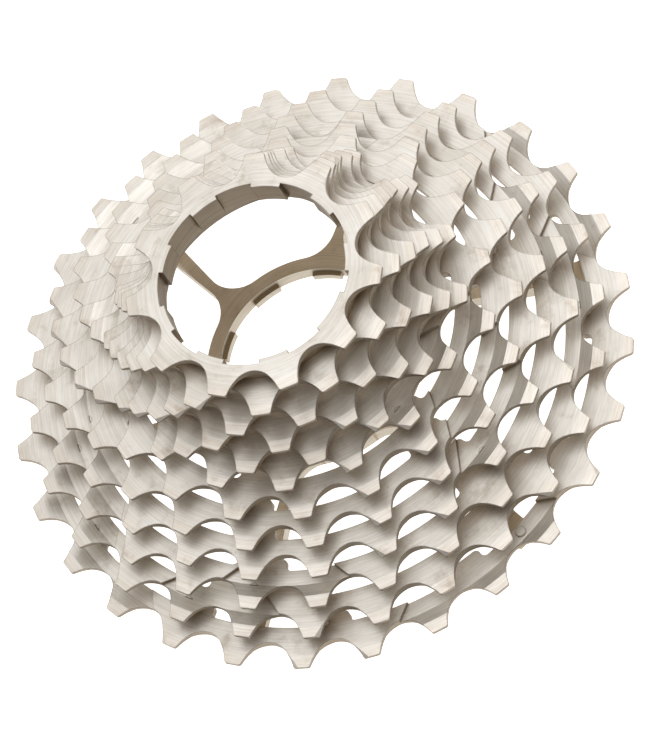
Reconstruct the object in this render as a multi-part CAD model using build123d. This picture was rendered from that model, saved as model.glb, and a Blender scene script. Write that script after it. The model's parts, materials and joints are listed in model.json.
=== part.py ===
"""Twelve-speed bicycle cassette: twelve sprockets stacked as a hollow dome on a splined carrier.

The axis is +Z. The carrier's feet stand on z = 0, the largest sprocket lies on the feet and the
smallest sprocket is on top. Sprocket plates from the 12-tooth one down are joined by short blind
pins. The 11-tooth sprocket is loose: it lifts off along +Z once the lockring is out.
Angles are in degrees, counter-clockwise seen from +Z. All lengths are millimetres.
"""
from build123d import *
from dataclasses import dataclass, field
from math import acos, atan2, cos, degrees, hypot, pi, radians, sin, sqrt
import os

# Chain and tooth form
CHAIN_PITCH = 12.7            # half-inch bicycle chain
SEAT_RADIUS = 3.95            # the roller seat at the bottom of a tooth gap
SEAT_HALF_ANGLE = 45.0        # where the seat's arc runs into the flank's
FLANK_RADIUS = 9.5            # the hollow flanks
ADDENDUM = 0.75               # the low teeth end this far outside the pitch circle
TIP_CORNER_RADIUS = 0.5
TIP_BEVEL_LENGTH = 2.2        # the front of a tooth drops slightly towards its tip
TIP_BEVEL_DROP = 0.2
RELIEF_START = 0.2            # the backs of the teeth are cut away, from here above the root
RELIEF_END = 1.6              # to here
RELIEF_DEPTH = 0.7            # by this much, and a little more at the tip
RELIEF_DEPTH_AT_TIP = 0.85

# Sprocket stack
PLATE_THICKNESS = 1.6
PLATE_SPACING = 3.64          # from one sprocket's front face to the next
RIM_WIDTH = 2.8               # from the bottom of a tooth gap to the plate's inner edge
SMALL_RIM_WIDTH = 3.9         # the same on the small sprockets, where each covers the next one's edge
SMALL_RIM_TEETH = 16          # the largest sprocket with the wider rim
PAD_DEPTH = 2.2               # how far the joining pads reach inwards from a rim
PAD_CORNER_RADIUS = 0.9
FOOT_THICKNESS = 1.6          # the carrier's feet under the largest sprocket

# Splined bore for the freehub body: nine lands, one wider than the others
GROOVE_RADIUS = 17.35
LAND_RADIUS = 16.6
LAND_COUNT = 9
LAND_WIDTH = 18.0             # degrees
WIDE_LAND_EXTRA = 8.5         # degrees added to the wide land, which leaves one narrow groove
WIDE_LAND_INDEX = 7
LAND_CLOCKING = 1.0           # centre of the first land
COLLAR_OUTER_RADIUS = 18.4    # spacer collar behind the 11-tooth sprocket

# Shift recesses in the front faces, and bevelled tooth flanks
RECESS_DEPTH = 0.8
RECESS_SKEW = 0.082           # tooth pitches by which a recess narrows per millimetre inwards
FLANK_BEVEL_WIDTH = 1.25      # taken off the front face at the tip
FLANK_BEVEL_DEPTH = 0.8       # where the bevel meets the flank at the tip

# Joining pins and rivets
PIN_COLUMN_ANGLE = 36.0       # pins go here on sprockets without joining pads, and every sixth turn
PIN_COLUMN_COUNT = 6
PIN_RADIUS = 0.9
PIN_ABOVE_ROOT = 0.6          # from the smaller sprocket's root circle out to a pin's axis
PIN_WALL = 0.3                # least metal beside a pin
PIN_DEPTH_FRONT = 0.8         # into the back of the smaller sprocket
PIN_DEPTH_BACK = 1.1          # into the front of the larger sprocket
RIVET_HEAD_RADIUS = 1.35
RIVET_HEAD_HEIGHT = 0.6
RIVET_COVER = 0.4             # metal left over a rivet's blind end

# Carrier: splined ring and six arms that run down and out to feet under the largest sprocket
ARM_COUNT = 6
ARM_ROOT_ANGLE = 37.6         # an arm's direction where it leaves the ring
ARM_END_ANGLE = 33.3          # the same arm's direction at its foot, so the arms lean back
ARM_ROOT_RADIUS = 24.0
ARM_ROOT_WIDTH = 1.6
ARM_FOOT_WIDTH = 4.4
ARM_FILLET = 6.0
FOOT_RADIUS = 2.3
CARRIER_RING_RADIUS = 19.8
CARRIER_FRONT = 7.4           # heights above the feet
CARRIER_LAND_FRONT = 6.1      # the carrier's lands are lower than its face
CARRIER_BACK = 4.6
ARM_TOP_AT_RIM = 3.0          # height of an arm's top just inside the largest sprocket
ARM_TOP_CURVE = [(33, 5.4), (28, 6.3), (25.5, 6.9), (23.5, 7.25), (21.5, CARRIER_FRONT)]


@dataclass
class Pads:
    """Places where a rim is wider inwards to meet the next smaller sprocket's pins."""
    count: int
    first: float              # direction of the first pad's middle
    width: float              # degrees


@dataclass
class Sprocket:
    """One row of the cassette; indices count teeth from the one at the clocking angle."""
    teeth: int
    clocking: float
    recesses: list = field(default_factory=list)      # (first tooth, last tooth) inside each
    bevels_cw: list = field(default_factory=list)     # teeth bevelled on the clockwise flank
    bevels_ccw: list = field(default_factory=list)    # and on the other flank
    pads: Pads = None

    @property
    def step(self):
        return 360 / self.teeth

    @property
    def pitch_radius(self):
        return CHAIN_PITCH / 2 / sin(pi / self.teeth)

    @property
    def root_radius(self):
        return self.pitch_radius - SEAT_RADIUS

    @property
    def tip_radius(self):
        return self.pitch_radius + ADDENDUM

    @property
    def inner_radius(self):
        return self.root_radius - (SMALL_RIM_WIDTH if self.teeth <= SMALL_RIM_TEETH else RIM_WIDTH)

    @property
    def node(self):
        return f"sprocket_{self.teeth}_tooth"

    def angle(self, tooth):
        return self.clocking + tooth * self.step


SPROCKETS = [
    Sprocket(11, 15.4),
    Sprocket(12, 19.0, bevels_ccw=[6]),
    Sprocket(13, -5.0, bevels_ccw=[7], bevels_cw=[1]),
    Sprocket(14, 0.0, bevels_ccw=[7], bevels_cw=[10, 3]),
    Sprocket(15, 1.4, bevels_ccw=[7, 14], bevels_cw=[11, 3]),
    Sprocket(
        16, 3.4, recesses=[(12, 13), (4, 5)],
        bevels_ccw=[7, 15], bevels_cw=[11, 12, 3]),
    Sprocket(
        18, 11.8, recesses=[(14, 15), (5, 6)], pads=Pads(6, 36.2, 11.5),
        bevels_ccw=[7, 16], bevels_cw=[12, 13, 3]),
    Sprocket(
        20, -1.0, recesses=[(16, 17), (6, 7)], pads=Pads(6, 33.8, 13.5),
        bevels_ccw=[8, 18], bevels_cw=[14, 15, 4]),
    Sprocket(
        22, 3.1, recesses=[(17, 18), (9, 10), (2, 3)], pads=Pads(6, 35.0, 11),
        bevels_ccw=[8, 19], bevels_cw=[15, 16, 4]),
    Sprocket(
        24, 5.3, recesses=[(22, 23), (14, 15), (10, 11), (5, 6)], pads=Pads(6, 36.3, 12.5),
        bevels_ccw=[8, 20], bevels_cw=[12, 17, 4]),
    Sprocket(
        26, 6.1, recesses=[(22, 24), (14, 15), (11, 12), (5, 7)], pads=Pads(6, 35.0, 24),
        bevels_ccw=[8, 16], bevels_cw=[20, 13, 4]),
    Sprocket(
        28, 6.2, recesses=[(5, 7), (12, 14), (19, 21), (26, 28)], pads=Pads(12, 21.2, 6.8),
        bevels_ccw=[8, 22], bevels_cw=[17, 18, 15, 4]),
]
LARGEST = SPROCKETS[-1]


def front_height(index):
    """Height of the front face of the sprocket at this place in the list."""
    plates_below = len(SPROCKETS) - 1 - index
    return FOOT_THICKNESS + PLATE_THICKNESS + plates_below * PLATE_SPACING


def polar(radius, angle):
    return Vector(radius * cos(radians(angle)), radius * sin(radians(angle)))


def mirrored(point):
    """The same point on the other side of the X axis."""
    return Vector(point.X, -point.Y)


def gap_points(sprocket):
    """Seat end, middle and tip end of the flank on the +Y side of a gap centred on +X."""
    seat_centre = Vector(sprocket.pitch_radius, 0)
    seat_end = seat_centre + polar(SEAT_RADIUS, 180 - SEAT_HALF_ANGLE)
    flank_centre = seat_end + polar(FLANK_RADIUS, -SEAT_HALF_ANGLE)
    away = flank_centre.length
    opening = degrees(acos(
        (away ** 2 + FLANK_RADIUS ** 2 - sprocket.tip_radius ** 2) / (2 * away * FLANK_RADIUS)))
    tip_direction = degrees(atan2(-flank_centre.Y, -flank_centre.X)) - opening
    middle_direction = (180 - SEAT_HALF_ANGLE + tip_direction) / 2
    flank_middle = flank_centre + polar(FLANK_RADIUS, middle_direction)
    flank_end = flank_centre + polar(FLANK_RADIUS, tip_direction)
    return seat_end, flank_middle, flank_end


def tooth_outline(sprocket):
    """Flat face bounded by all the teeth, with rounded tip corners."""
    seat_end, flank_middle, flank_end = gap_points(sprocket)
    seat_bottom = Vector(sprocket.root_radius, 0)
    edges = []
    for tooth in range(sprocket.teeth):
        gap = Rot(0, 0, sprocket.angle(tooth + 0.5))
        next_gap = Rot(0, 0, sprocket.angle(tooth + 1.5))
        edges.append(gap * ThreePointArc(
            mirrored(flank_end), mirrored(flank_middle), mirrored(seat_end)))
        edges.append(gap * ThreePointArc(mirrored(seat_end), seat_bottom, seat_end))
        edges.append(gap * ThreePointArc(seat_end, flank_middle, flank_end))
        tip_start = gap * Pos(flank_end.X, flank_end.Y, 0)
        tip_end = next_gap * Pos(flank_end.X, -flank_end.Y, 0)
        edges.append(Line(tip_start.position, tip_end.position))
    outline = make_face(edges)
    corners = [v for v in outline.vertices() if hypot(v.X, v.Y) > sprocket.tip_radius - 0.05]
    return fillet(corners, TIP_CORNER_RADIUS)


def ring_profile(points):
    """Solid of revolution about Z from (radius, height) points."""
    outline = Polyline(*[(radius, 0, height) for radius, height in points], close=True)
    return revolve(make_face(outline), Axis.Z, 360)


def sector(start, width, reach):
    """Flat wedge from the axis outwards; a few straight sides stand for its outer arc."""
    outer = [polar(reach, start + width * share / 4) for share in range(5)]
    return make_face(Polyline((0, 0), *outer, close=True))


def splined_bore(bottom, top):
    """Cutting tool for the freehub's bore: a round hole that leaves nine lands standing."""
    hole = Circle(GROOVE_RADIUS)
    for land in range(LAND_COUNT):
        extra = WIDE_LAND_EXTRA if land == WIDE_LAND_INDEX else 0
        start = LAND_CLOCKING - LAND_WIDTH / 2 + land * 360 / LAND_COUNT
        hole -= sector(start, LAND_WIDTH + extra, GROOVE_RADIUS + 2) - Circle(LAND_RADIUS)
    return Pos(0, 0, bottom) * extrude(hole, top - bottom)


def rim_opening(sprocket, bottom, top):
    """Cutting tool for the inside of a rim, which leaves the joining pads standing."""
    hole = Circle(sprocket.inner_radius)
    pads = sprocket.pads
    if pads:
        pad_edge = Circle(sprocket.inner_radius - PAD_DEPTH)
        for place in range(pads.count):
            start = pads.first - pads.width / 2 + place * 360 / pads.count
            hole -= sector(start, pads.width, sprocket.inner_radius * 1.1) - pad_edge
        hole = fillet(hole.vertices(), PAD_CORNER_RADIUS)
    return Pos(0, 0, bottom) * extrude(hole, top - bottom)


def shift_recess(sprocket, first, last, front):
    """Cutting tool for one recess: flat-sided, deepest at the inner edge, fading out at the tips."""
    root = sprocket.root_radius
    reach = sprocket.tip_radius + 3
    start = sprocket.angle(first - 0.5)
    end = sprocket.angle(last + 0.5)
    inside = sprocket.inner_radius - PAD_DEPTH - 0.5
    skew = RECESS_SKEW * sprocket.step * (root - inside)
    middle = sprocket.angle((first + last) / 2)
    plan = make_face(Polyline(
        polar(inside, start + skew), polar(root, start), polar(reach, start),
        polar(reach * 1.2, middle),
        polar(reach, end), polar(root, end), polar(inside, end - skew),
        close=True))
    floor = front - RECESS_DEPTH
    fade_end = sprocket.tip_radius - TIP_BEVEL_LENGTH
    wedge = ring_profile([
        (0, front + 1), (0, floor), (root, floor), (fade_end, front),
        (reach * 1.3, front), (reach * 1.3, front + 1)])
    return Pos(0, 0, front - 2) * extrude(plan, 4) & wedge


def flank_bevel(sprocket, tooth, side, front):
    """Cutting block for a tooth flank: side is +1 for the counter-clockwise one, -1 for the other."""
    seat_end, _, flank_end = gap_points(sprocket)
    gap = Rot(0, 0, sprocket.angle(tooth + 0.5 * side))

    def place(x, y, height):
        return (gap * Pos(x, -side * y, height)).position

    start = place(seat_end.X, seat_end.Y, front)
    inset = place(flank_end.X, flank_end.Y + FLANK_BEVEL_WIDTH, front)
    corner = place(flank_end.X, flank_end.Y, front - FLANK_BEVEL_DEPTH)
    trace = (inset - start).normalized()
    normal = trace.cross(corner - start).normalized()
    gap_side = place(flank_end.X, 0, front) - start
    if normal.dot(gap_side) < 0:
        normal = normal * -1
    face = Plane(origin=start, x_dir=trace, z_dir=normal)
    length = (inset - start).length + 1.5
    height = 4
    return face * Pos(length / 2, 0, height / 2) * Box(length, 2 * height, height)


def pin_angles(index):
    """Directions of the pins, one wherever a tooth of the smaller sprocket stands over a pad."""
    smaller, larger = SPROCKETS[index], SPROCKETS[index + 1]
    pads = larger.pads or Pads(PIN_COLUMN_COUNT, PIN_COLUMN_ANGLE, 360 / PIN_COLUMN_COUNT)
    radius = smaller.root_radius + PIN_ABOVE_ROOT
    half_gap = sqrt(SEAT_RADIUS ** 2 - (SEAT_RADIUS - PIN_ABOVE_ROOT) ** 2)
    tooth_reach = smaller.step / 2 - degrees((half_gap + PIN_RADIUS + PIN_WALL) / radius)
    pad_reach = pads.width / 2 - degrees((PIN_RADIUS + PIN_WALL) / radius)
    angles = []
    for place in range(pads.count):
        middle = pads.first + place * 360 / pads.count
        tooth = smaller.angle(round((middle - smaller.clocking) / smaller.step))
        angle = min(max(tooth, middle - pad_reach), middle + pad_reach)
        if abs(angle - tooth) <= tooth_reach:
            angles.append(angle)
    return angles


def pin_set(index):
    """The pins between the sprocket at this place and the next larger one."""
    bottom = front_height(index + 1) - PIN_DEPTH_BACK
    top = front_height(index) - PLATE_THICKNESS + PIN_DEPTH_FRONT
    radius = SPROCKETS[index].root_radius + PIN_ABOVE_ROOT
    pin = Pos(0, 0, bottom) * extrude(Circle(PIN_RADIUS), top - bottom)
    return [Pos(*polar(radius, angle)) * pin for angle in pin_angles(index)]


def collar(back):
    """Spacer behind the 11-tooth sprocket that reaches down to the next one's front face."""
    low = back - PLATE_SPACING + PLATE_THICKNESS
    inside = LAND_RADIUS - 1
    return ring_profile([
        (inside, low), (inside, back), (COLLAR_OUTER_RADIUS, back), (COLLAR_OUTER_RADIUS, low)])


def turned_blank(sprocket, back, front):
    """What a plate's faces are turned to: flat, with slightly bevelled fronts and relieved backs."""
    beyond = sprocket.tip_radius + 0.5
    root = sprocket.root_radius
    collar_side = COLLAR_OUTER_RADIUS + 0.1
    return ring_profile([
        (0, back - PLATE_SPACING), (collar_side, back - PLATE_SPACING), (collar_side, back),
        (root + RELIEF_START, back), (root + RELIEF_END, back + RELIEF_DEPTH),
        (beyond, back + RELIEF_DEPTH_AT_TIP), (beyond, front - TIP_BEVEL_DROP),
        (sprocket.tip_radius - TIP_BEVEL_LENGTH, front), (0, front)])


def sprocket_body(index):
    """One sprocket plate with its teeth, rim or splined bore, recesses, bevels and pin holes."""
    sprocket = SPROCKETS[index]
    front = front_height(index)
    back = front - PLATE_THICKNESS
    plate = Pos(0, 0, back) * extrude(tooth_outline(sprocket), PLATE_THICKNESS)
    if index == 0:
        plate += collar(back)
    plate = plate & turned_blank(sprocket, back, front)
    if index < 2:
        plate -= splined_bore(back - PLATE_SPACING, front + 1)
    else:
        plate -= rim_opening(sprocket, back - 1, front + 1)
    for first, last in sprocket.recesses:
        plate -= shift_recess(sprocket, first, last, front)
    for tooth in sprocket.bevels_cw:
        plate -= flank_bevel(sprocket, tooth, -1, front)
    for tooth in sprocket.bevels_ccw:
        plate -= flank_bevel(sprocket, tooth, 1, front)
    if 1 <= index < len(SPROCKETS) - 1:
        plate -= pin_set(index)
    if index >= 2:
        plate -= pin_set(index - 1)
    if sprocket is LARGEST:
        plate -= carrier_rivets()
    return plate


def foot_centre():
    """Plan of the first arm's foot and rivet, in the middle of the largest sprocket's rim."""
    return polar(LARGEST.root_radius - RIM_WIDTH / 2, ARM_END_ANGLE)


def carrier_rivets():
    """Six countersunk rivets, flush with the feet and blind in the largest sprocket."""
    top = front_height(len(SPROCKETS) - 1) - RIVET_COVER
    rivet = ring_profile([
        (0, 0), (RIVET_HEAD_RADIUS, 0), (PIN_RADIUS, RIVET_HEAD_HEIGHT), (PIN_RADIUS, top),
        (0, top)])
    foot = foot_centre()
    first = Pos(foot.X, foot.Y, 0) * rivet
    return [Rot(0, 0, arm * 360 / ARM_COUNT) * first for arm in range(ARM_COUNT)]


def carrier_blank():
    """Ring and arms in one piece: filleted plan, with tops and undersides that drop outwards."""
    root = polar(ARM_ROOT_RADIUS, ARM_ROOT_ANGLE)
    foot = foot_centre()
    along = (foot - root).normalized()
    side = Vector(-along.Y, along.X)
    inset = 10
    inner = root - along * inset
    taper = (ARM_FOOT_WIDTH - ARM_ROOT_WIDTH) / (foot - root).length
    inner_half = (ARM_ROOT_WIDTH - taper * inset) / 2
    foot_half = ARM_FOOT_WIDTH / 2
    arm = make_face(Polyline(
        inner + side * inner_half, foot + side * foot_half,
        foot - side * foot_half, inner - side * inner_half, close=True))
    arm += Pos(foot.X, foot.Y) * Circle(FOOT_RADIUS)
    plan = Circle(CARRIER_RING_RADIUS)
    for place in range(ARM_COUNT):
        plan += Rot(0, 0, place * 360 / ARM_COUNT) * arm
    joints = [v for v in plan.vertices() if abs(hypot(v.X, v.Y) - CARRIER_RING_RADIUS) < 0.01]
    plan = fillet(joints, ARM_FILLET)
    foot_end = LARGEST.root_radius - 0.2
    shelf = LARGEST.inner_radius - PAD_DEPTH - 0.3
    section = ring_profile([
        (0, CARRIER_BACK), (22, CARRIER_BACK), (shelf - 2.5, 0), (foot_end, 0),
        (foot_end, FOOT_THICKNESS), (shelf, FOOT_THICKNESS), (shelf - 1.2, ARM_TOP_AT_RIM),
        *ARM_TOP_CURVE, (0, CARRIER_FRONT)])
    blank = extrude(plan, CARRIER_FRONT) & section
    bevel = arm_bevel(root, foot, along, side)
    for place in range(ARM_COUNT):
        blank -= Rot(0, 0, place * 360 / ARM_COUNT) * bevel
    return blank


def arm_bevel(root, foot, along, side):
    """Cutting block for the slanted side of the first arm, which widens from nothing at the root."""
    near = root + side * (ARM_ROOT_WIDTH / 2) + Vector(0, 0, CARRIER_FRONT)
    far_top = foot + side * (ARM_ROOT_WIDTH - ARM_FOOT_WIDTH / 2) + Vector(0, 0, ARM_TOP_AT_RIM)
    far_low = foot + side * (ARM_FOOT_WIDTH / 2)
    trace = (far_top - near).normalized()
    normal = trace.cross(far_low - near).normalized()
    if normal.dot(side) < 0:
        normal = normal * -1
    face = Plane(origin=near, x_dir=trace, z_dir=normal)
    length = (far_top - near).length - 2 * FOOT_RADIUS
    height = 6
    return face * Pos(length / 2, 0, height / 2) * Box(length, 3 * height, height)


def splined_ring():
    """The middle of the carrier, with the lands of its bore lower than its face."""
    ring = carrier_blank() & extrude(Circle(CARRIER_RING_RADIUS), CARRIER_FRONT)
    ring -= Pos(0, 0, CARRIER_LAND_FRONT) * extrude(Circle(GROOVE_RADIUS), CARRIER_FRONT)
    return ring - splined_bore(CARRIER_BACK - 1, CARRIER_FRONT + 1)


def carrier_arms():
    """The six arms outside the splined ring, with their feet and rivet holes."""
    arms = carrier_blank() - extrude(Circle(CARRIER_RING_RADIUS), CARRIER_FRONT)
    arms -= carrier_rivets()
    return list(arms.solids())


def save(name, solids):
    """Write one node; a list of solids becomes a group of separate solids."""
    shape = Compound(children=solids) if isinstance(solids, list) else solids
    shape.label = name
    export_step(shape, f"parts/{name}.step")


def main():
    os.makedirs("parts", exist_ok=True)
    for index, sprocket in enumerate(SPROCKETS):
        save(sprocket.node, sprocket_body(index))
    for index in range(1, len(SPROCKETS) - 1):
        smaller, larger = SPROCKETS[index], SPROCKETS[index + 1]
        save(f"joining_pins_{smaller.teeth}_to_{larger.teeth}", pin_set(index))
    save("splined_ring", splined_ring())
    save("carrier_arms", carrier_arms())
    save("carrier_rivets", carrier_rivets())


main()
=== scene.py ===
"""Studio scene of a bicycle cassette: twelve satin nickel sprockets on a bronze splined carrier."""
import json
import math
from dataclasses import dataclass

import bpy
from mathutils import Matrix, Vector


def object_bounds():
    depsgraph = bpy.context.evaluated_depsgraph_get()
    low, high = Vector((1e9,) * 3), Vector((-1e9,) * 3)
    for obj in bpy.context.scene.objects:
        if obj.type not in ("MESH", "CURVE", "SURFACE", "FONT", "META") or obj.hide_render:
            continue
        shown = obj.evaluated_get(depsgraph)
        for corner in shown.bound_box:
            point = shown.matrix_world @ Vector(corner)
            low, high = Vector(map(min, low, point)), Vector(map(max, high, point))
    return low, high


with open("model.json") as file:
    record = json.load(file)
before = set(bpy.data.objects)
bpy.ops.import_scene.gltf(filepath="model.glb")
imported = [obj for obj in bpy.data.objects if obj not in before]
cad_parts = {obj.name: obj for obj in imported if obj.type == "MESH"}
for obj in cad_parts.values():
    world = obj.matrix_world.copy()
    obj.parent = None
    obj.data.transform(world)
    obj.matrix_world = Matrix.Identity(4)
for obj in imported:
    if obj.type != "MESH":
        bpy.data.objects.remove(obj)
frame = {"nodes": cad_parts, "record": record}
CAD_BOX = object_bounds()

MM = 0.001
MICRON = 1e-6

LOW, HIGH = CAD_BOX
CENTRE = (LOW + HIGH) / 2

# Camera: a long lens from above the front, rolled so that the small sprockets lean to the upper left
CAMERA_AZIMUTH = math.radians(-9.85)
CAMERA_ELEVATION = math.radians(60.32)
CAMERA_ROLL = math.radians(35.63)
CAMERA_DISTANCE = 1173.6 * MM
CAMERA_LENS_MM = 321.0
CAMERA_NEAR = 50 * MM
CAMERA_FAR = 20.0
AIM_RIGHT = 6.2 * MM
AIM_DOWN = 8.9 * MM

# Where the tints change: radii from the cassette's axis, and the factor over which a border blurs.
# Inside the land and bore radii the tints are painted shade; along the tips they are a painted
# highlight.
LAND_EDGE_RADIUS = 17.3 * MM
BORE_WALL_RADIUS = 17.6 * MM
BORDER_BLUR = 1.002
TIP_LENGTH = 2.4 * MM

# Upward part of the normal: a wall up to the first value, a face from the second on. Walls take the
# wall tint, which is painted light and shade.
WALL_TO_FACE = (0.35, 0.90)

# Patterns: noises, with the scale in features per metre
FINE_LINES = {"scale": 4200, "detail": 3.0, "roughness": 0.6}
BROAD_LINES = {"scale": 900, "detail": 2.0, "roughness": 0.6}
CLOUDS = {"scale": 80, "detail": 5.0, "roughness": 0.6}
BLOTCHES = {"scale": 210, "detail": 6.0, "roughness": 0.65}
GRAIN = {"scale": 5200, "detail": 1.0, "roughness": 0.5}

# How fast the ring lines change upwards and along their own length, beside 1 outwards
LINE_CHANGE_UP = 0.3
LINE_CHANGE_ALONG = 0.05

# Relief
FINE_LINE_HEIGHT = 4 * MICRON
BROAD_LINE_HEIGHT = 9 * MICRON
GRAIN_HEIGHT = 3 * MICRON

# Stains: the range of a pattern's values over which they set in, and how strong they get
BLOTCH_RANGE = (0.52, 0.78)
BLOTCH_STAIN = 0.45
CLOUD_RANGE = (0.35, 0.70)
CLOUD_STAIN = 0.20
LINE_RANGE = (0.35, 0.65)
LINE_STAIN = 0.18

# Painted shade in crevices: how far away a neighbour counts, and the openness that is darkest and just
# unshaded
CREVICE_REACH = 4.0 * MM
CREVICE_OPENNESS = (0.15, 0.80)
CREVICE_SHADE = 0.85
CREVICE_SAMPLES = 6

# Painted shade along sharp edges: the rounding's radius, and how well its normal agrees with the real
# one, darkest to unshaded
EDGE_WIDTH = 0.28 * MM
EDGE_AGREEMENT = (0.80, 0.97)
EDGE_SHADE = 0.7
EDGE_SAMPLES = 4

# How far the roughness swings with the lines and with the blotches
LINE_ROUGHNESS = 0.05
BLOTCH_ROUGHNESS = 0.06

# Studio: softboxes by name, with direction from the cassette, side in metres and power in watts
LIGHT_DISTANCE = 0.9
LIGHTS = (
    ("overhead", (0.12, -0.15, 1.0), 1.35, 4.4),
    ("right_key", (0.9, 0.3, 0.6), 0.5, 1.4),
    ("back", (0.1, 0.9, 0.5), 0.6, 0.5))

# World: the direction of its bright side, and the cosines to it where it is darkest and brightest
BRIGHT_SIDE = (0.3, 0.35, 0.9)
DARK_TO_BRIGHT = (-0.6, 0.8)
WORLD_DARK = 0.08
WORLD_BRIGHT = 0.6
WORLD_COLOUR = (1.0, 0.98, 0.95, 1)

# Floor
FLOOR_COLOUR = (0.9, 0.9, 0.9, 1)
FLOOR_ROUGHNESS = 0.8
FLOOR_GLOW = 0.7
FLOOR_HALF = 3.0


@dataclass(frozen=True)
class Finish:
    """Tints and roughness of one metal.

    wall is the tint of upright walls, with their light and shade painted in. land is the tint of flat
    faces inside the bore, bore that of the bore's wall and tip that of the tooth tips; land and bore
    are painted shade, tip is a painted highlight. The tint of stains also paints the shade in
    crevices, and the tint for edges is painted shade along them. A metal without one of them keeps its
    face's or its wall's tint there.
    """

    face: tuple
    wall: tuple
    stain_and_shade: tuple
    edge: tuple
    roughness: float
    land: tuple = None
    bore: tuple = None
    tip: tuple = None


NICKEL = Finish(
    face=(0.74, 0.72, 0.685, 1),
    # Painted shade: upright walls are dark because they turn away from the light
    wall=(0.27, 0.24, 0.20, 1),
    # Stains, and the painted shade in crevices
    stain_and_shade=(0.28, 0.205, 0.125, 1),
    # Painted shade: dark lines along the sharp edges
    edge=(0.10, 0.075, 0.05, 1),
    roughness=0.45,
    # Painted shade: the bore's wall, dark in its shadow
    bore=(0.27, 0.235, 0.19, 1),
    # Painted highlight: tooth tips a little lighter and warmer, for the light their tilt catches
    tip=(0.77, 0.73, 0.68, 1))

PIN_NICKEL = Finish(
    # Stains with painted shade in crevices, and painted shade along edges, as on the nickel
    face=NICKEL.face, wall=NICKEL.face, stain_and_shade=NICKEL.stain_and_shade, edge=NICKEL.edge, roughness=0.4)

BRONZE = Finish(
    face=(0.66, 0.56, 0.435, 1),
    # Painted light: upright walls are pale from light bounced off the table
    wall=(0.60, 0.56, 0.49, 1),
    # Stains, and the painted shade in crevices
    stain_and_shade=(0.36, 0.29, 0.20, 1),
    # Painted shade: dark lines along the sharp edges
    edge=(0.36, 0.29, 0.20, 1),
    roughness=0.5,
    # Painted shade: the recessed flat lands inside the bore are darker
    land=(0.40, 0.31, 0.205, 1))


def add_camera():
    """Places the camera on a sphere round the cassette and rolls it about its own line of sight."""
    back = Vector((
        math.sin(CAMERA_AZIMUTH) * math.cos(CAMERA_ELEVATION),
        -math.cos(CAMERA_AZIMUTH) * math.cos(CAMERA_ELEVATION),
        math.sin(CAMERA_ELEVATION)))
    level_up = (Vector((0, 0, 1)) - back * back.z).normalized()
    level_right = level_up.cross(back)
    up = level_up * math.cos(CAMERA_ROLL) + level_right * math.sin(CAMERA_ROLL)
    right = up.cross(back)
    data = bpy.data.cameras.new("camera")
    data.lens = CAMERA_LENS_MM
    data.clip_start = CAMERA_NEAR
    data.clip_end = CAMERA_FAR
    camera = bpy.data.objects.new("camera", data)
    bpy.context.scene.collection.objects.link(camera)
    aim = CENTRE + right * AIM_RIGHT - up * AIM_DOWN
    turn = Matrix((right, up, back)).transposed().to_4x4()
    camera.matrix_world = Matrix.Translation(aim + back * CAMERA_DISTANCE) @ turn
    bpy.context.scene.camera = camera


class Nodes:
    """Short-hand for building one node tree."""

    def __init__(self, tree):
        self.tree = tree

    def add(self, kind, **settings):
        node = self.tree.nodes.new(kind)
        for name, value in settings.items():
            setattr(node, name, value)
        return node

    def link(self, source, target):
        self.tree.links.new(source, target)

    def maths(self, operation, first, second=None):
        node = self.add("ShaderNodeMath", operation=operation)
        for socket, value in zip(node.inputs, (first, second)):
            if isinstance(value, (int, float)):
                socket.default_value = value
            elif value is not None:
                self.link(value, socket)
        return node.outputs[0]

    def times(self, first, second):
        return self.maths("MULTIPLY", first, second)

    def plus(self, first, second):
        return self.maths("ADD", first, second)

    def split(self, vector):
        """The x, y and z of a vector."""
        node = self.add("ShaderNodeSeparateXYZ")
        self.link(vector, node.inputs[0])
        return tuple(node.outputs)

    def noise(self, vector, scale, detail, roughness):
        node = self.add("ShaderNodeTexNoise")
        node.inputs["Scale"].default_value = scale
        node.inputs["Detail"].default_value = detail
        node.inputs["Roughness"].default_value = roughness
        self.link(vector, node.inputs["Vector"])
        return node.outputs["Fac"]

    def ramp(self, value, start, end, first=0.0, last=1.0, easing="SMOOTHSTEP"):
        """Goes from first, where the value is start, to last, where it is end, and no further."""
        node = self.add("ShaderNodeMapRange", interpolation_type=easing)
        limits = {"From Min": start, "From Max": end, "To Min": first, "To Max": last}
        for name, limit in limits.items():
            node.inputs[name].default_value = limit
        self.link(value, node.inputs["Value"])
        return node.outputs["Result"]

    def mix(self, amount, first, second):
        """The first colour where the amount is 0, the second where it is 1."""
        node = self.add("ShaderNodeMix", data_type="RGBA")
        sockets = {socket.identifier: socket for socket in node.inputs}
        self.link(amount, sockets["Factor_Float"])
        for socket, value in ((sockets["A_Color"], first), (sockets["B_Color"], second)):
            if isinstance(value, tuple):
                socket.default_value = value
            else:
                self.link(value, socket)
        return {socket.identifier: socket for socket in node.outputs}["Result_Color"]


class Material(Nodes):
    """One new material's node tree, with its shader."""

    def __init__(self, name):
        self.material = bpy.data.materials.new(name)
        self.material.use_nodes = True
        super().__init__(self.material.node_tree)
        self.shader = self.tree.nodes["Principled BSDF"]


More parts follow.
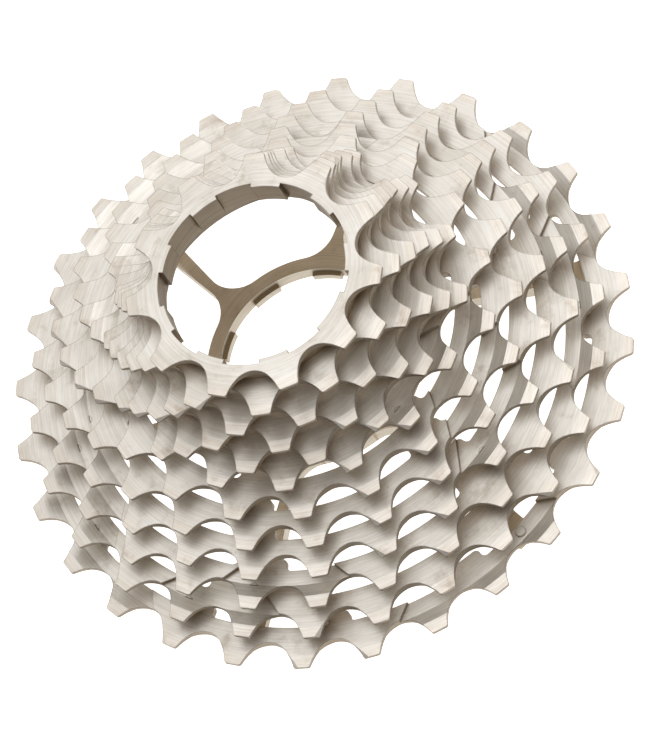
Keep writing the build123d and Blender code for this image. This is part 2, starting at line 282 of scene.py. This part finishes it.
class Metal(Material):
    """A metal's node tree, with the places, directions and patterns that its tint and relief share."""

    def __init__(self, name):
        super().__init__(name)
        coordinates = self.add("ShaderNodeTexCoord")
        position = coordinates.outputs["Object"]
        self.place = self.split(position)
        self.radius = self.axis_radius()
        self.flatness = self.face_or_wall(coordinates.outputs["Normal"])
        self.fine_lines = self.ring_lines(FINE_LINES)
        self.broad_lines = self.ring_lines(BROAD_LINES)
        self.clouds = self.noise(position, **CLOUDS)
        self.blotches = self.noise(position, **BLOTCHES)
        self.grain = self.noise(position, **GRAIN)

    def axis_radius(self):
        """Distance from the cassette's axis."""
        x, y, _ = self.place
        return self.maths("SQRT", self.plus(self.maths("POWER", x, 2.0), self.maths("POWER", y, 2.0)))

    def face_or_wall(self, normal):
        """1 on faces that lie flat, 0 on walls that stand upright."""
        upward = self.split(normal)[2]
        return self.ramp(self.maths("ABSOLUTE", upward), *WALL_TO_FACE)

    def ring_lines(self, pattern):
        """Uneven lines at constant distance from the cassette's axis, as a lathe or a brush leaves."""
        x, _, z = self.place
        line = self.add("ShaderNodeCombineXYZ")
        self.link(self.radius, line.inputs["X"])
        self.link(self.times(z, LINE_CHANGE_UP), line.inputs["Y"])
        self.link(self.times(x, LINE_CHANGE_ALONG), line.inputs["Z"])
        return self.noise(line.outputs[0], **pattern)

    def inside(self, radius):
        """1 nearer to the axis than the radius, 0 outside it."""
        return self.ramp(self.radius, radius, radius * BORDER_BLUR, 1.0, 0.0)

    def at_tip(self, tip_radius):
        """1 at the ends of the teeth, with a wandering border: where the tips' painted highlight goes.
        """
        wander = self.times(self.maths("SUBTRACT", self.blotches, 0.5), TIP_LENGTH)
        outwards = self.plus(self.radius, wander)
        return self.ramp(outwards, tip_radius - TIP_LENGTH, tip_radius - TIP_LENGTH / 2)

    def crevices(self):
        """0 on open surfaces, 1 deep between two plates, where shade is painted."""
        node = self.add("ShaderNodeAmbientOcclusion", samples=CREVICE_SAMPLES)
        node.inputs["Distance"].default_value = CREVICE_REACH
        return self.ramp(node.outputs["AO"], *CREVICE_OPENNESS, 1.0, 0.0)

    def shaded_edges(self):
        """1 along sharp edges and 0 away from them, where dark lines of shade are painted."""
        rounded = self.add("ShaderNodeBevel", samples=EDGE_SAMPLES)
        rounded.inputs["Radius"].default_value = EDGE_WIDTH
        surface = self.add("ShaderNodeNewGeometry")
        agreement = self.add("ShaderNodeVectorMath", operation="DOT_PRODUCT")
        self.link(rounded.outputs["Normal"], agreement.inputs[0])
        self.link(surface.outputs["Normal"], agreement.inputs[1])
        return self.ramp(agreement.outputs["Value"], *EDGE_AGREEMENT, 1.0, 0.0)


def clean_tint(metal, finish, tip_radius):
    """The metal's colour by region, with light and shade painted in: face or wall, and land, bore or
    tip where it has them.
    """
    face = finish.face
    wall = finish.wall
    # Painted shade: flat lands inside the bore are darker
    if finish.land:
        face = metal.mix(metal.inside(LAND_EDGE_RADIUS), face, finish.land)
    # Painted highlight on the tooth tips
    if finish.tip:
        face = metal.mix(metal.at_tip(tip_radius), face, finish.tip)
    # Painted shade: walls inside the bore are darker
    if finish.bore:
        wall = metal.mix(metal.inside(BORE_WALL_RADIUS), wall, finish.bore)
    # Walls take the wall tint: painted shade on the nickel, painted light on the carrier
    return metal.mix(metal.flatness, wall, face)


def add_tint(metal, finish, tip_radius):
    """Colours the metal, with stains on it, painted shade in its crevices and painted shade along its
    sharp edges.
    """
    blotched = metal.ramp(metal.blotches, *BLOTCH_RANGE, last=BLOTCH_STAIN)
    layers = (
        (metal.times(blotched, metal.flatness), finish.stain_and_shade),
        (metal.ramp(metal.clouds, *CLOUD_RANGE, last=CLOUD_STAIN), finish.stain_and_shade),
        (metal.ramp(metal.fine_lines, *LINE_RANGE, last=LINE_STAIN), finish.stain_and_shade),
        # Painted shade: crevices darkened towards the tint of stains
        (metal.times(metal.crevices(), CREVICE_SHADE), finish.stain_and_shade),
        # Painted shade: dark lines along sharp edges
        (metal.times(metal.shaded_edges(), EDGE_SHADE), finish.edge))
    tint = clean_tint(metal, finish, tip_radius)
    for amount, colour in layers:
        tint = metal.mix(amount, tint, colour)
    metal.link(tint, metal.shader.inputs["Base Color"])


def add_roughness(metal, finish):
    """Makes the metal unevenly rough, along the lines and in blotches."""
    along_lines = metal.ramp(metal.fine_lines, 0.0, 1.0, -LINE_ROUGHNESS, LINE_ROUGHNESS)
    in_blotches = metal.ramp(metal.blotches, 0.0, 1.0, -BLOTCH_ROUGHNESS, BLOTCH_ROUGHNESS)
    swing = metal.plus(along_lines, in_blotches)
    metal.link(metal.plus(swing, finish.roughness), metal.shader.inputs["Roughness"])


def add_relief(metal):
    """Raises the ring lines and the grain by their heights in metres."""
    fine = metal.times(metal.fine_lines, FINE_LINE_HEIGHT)
    broad = metal.times(metal.broad_lines, BROAD_LINE_HEIGHT)
    grain = metal.times(metal.grain, GRAIN_HEIGHT)
    bump = metal.add("ShaderNodeBump")
    bump.inputs["Strength"].default_value = 1.0
    bump.inputs["Distance"].default_value = 1.0
    metal.link(metal.plus(metal.plus(fine, broad), grain), bump.inputs["Height"])
    metal.link(bump.outputs["Normal"], metal.shader.inputs["Normal"])


def satin_metal(name, finish, tip_radius=None):
    """Satin metal in a finish. A finish with a tip tint needs the radius where the teeth end."""
    metal = Metal(name)
    metal.shader.inputs["Metallic"].default_value = 1.0
    add_tint(metal, finish, tip_radius)
    add_roughness(metal, finish)
    add_relief(metal)
    return metal.material


def sprocket_nickel(name, node):
    """Satin nickel for one sprocket, with tips that end where its teeth do."""
    tip_radius = max(corner.co.xy.length for corner in node.data.vertices)
    return satin_metal(f"satin_nickel_{name}", NICKEL, tip_radius)


def finish_nodes():
    """Gives every CAD node its finish: one for all pins, one for the carrier, one per sprocket."""
    shared = {
        "pin_steel": satin_metal("pin_steel", PIN_NICKEL),
        "carrier_alloy": satin_metal("bronze_anodised", BRONZE)}
    slots = {part["node"]: part["material_slot"] for part in frame["record"]["subparts"]}
    for name, node in frame["nodes"].items():
        node.data.materials.clear()
        if slots[name] in shared:
            node.data.materials.append(shared[slots[name]])
        else:
            node.data.materials.append(sprocket_nickel(name, node))


def add_floor():
    """Pale table, wide enough to fill every view."""
    corners = [(x * FLOOR_HALF, y * FLOOR_HALF, 0) for x, y in ((-1, -1), (1, -1), (1, 1), (-1, 1))]
    mesh = bpy.data.meshes.new("floor")
    mesh.from_pydata(corners, [], [(0, 1, 2, 3)])
    floor = bpy.data.objects.new("floor", mesh)
    bpy.context.scene.collection.objects.link(floor)
    table = Material("white_table")
    table.shader.inputs["Base Color"].default_value = FLOOR_COLOUR
    table.shader.inputs["Roughness"].default_value = FLOOR_ROUGHNESS
    table.shader.inputs["Emission Color"].default_value = (1, 1, 1, 1)
    table.shader.inputs["Emission Strength"].default_value = FLOOR_GLOW
    mesh.materials.append(table.material)


def add_world():
    """Dim studio: brightest overhead, a little to the back right, and darkest below."""
    world = bpy.data.worlds.new("studio")
    world.use_nodes = True
    nodes = Nodes(world.node_tree)
    background = nodes.tree.nodes["Background"]
    direction = nodes.add("ShaderNodeTexCoord")
    slope = nodes.add("ShaderNodeVectorMath", operation="DOT_PRODUCT")
    slope.inputs[1].default_value = Vector(BRIGHT_SIDE).normalized()
    nodes.link(direction.outputs["Generated"], slope.inputs[0])
    strength = nodes.ramp(
        slope.outputs["Value"], *DARK_TO_BRIGHT, WORLD_DARK, WORLD_BRIGHT, easing="LINEAR")
    nodes.link(strength, background.inputs["Strength"])
    background.inputs["Color"].default_value = WORLD_COLOUR
    bpy.context.scene.world = world


def add_light(name, direction, side, power):
    """Square softbox that looks at the cassette from the given direction."""
    data = bpy.data.lights.new(name, "AREA")
    data.size = side
    data.energy = power
    light = bpy.data.objects.new(name, data)
    bpy.context.scene.collection.objects.link(light)
    towards = Vector(direction).normalized()
    light.location = CENTRE + towards * LIGHT_DISTANCE
    light.rotation_mode = "QUATERNION"
    light.rotation_quaternion = towards.to_track_quat("Z", "Y")


add_camera()
finish_nodes()
add_floor()
add_world()
for light in LIGHTS:
    add_light(*light)
bpy.context.scene.view_settings.view_transform = "Standard"
bpy.context.scene.view_settings.look = "Medium High Contrast"
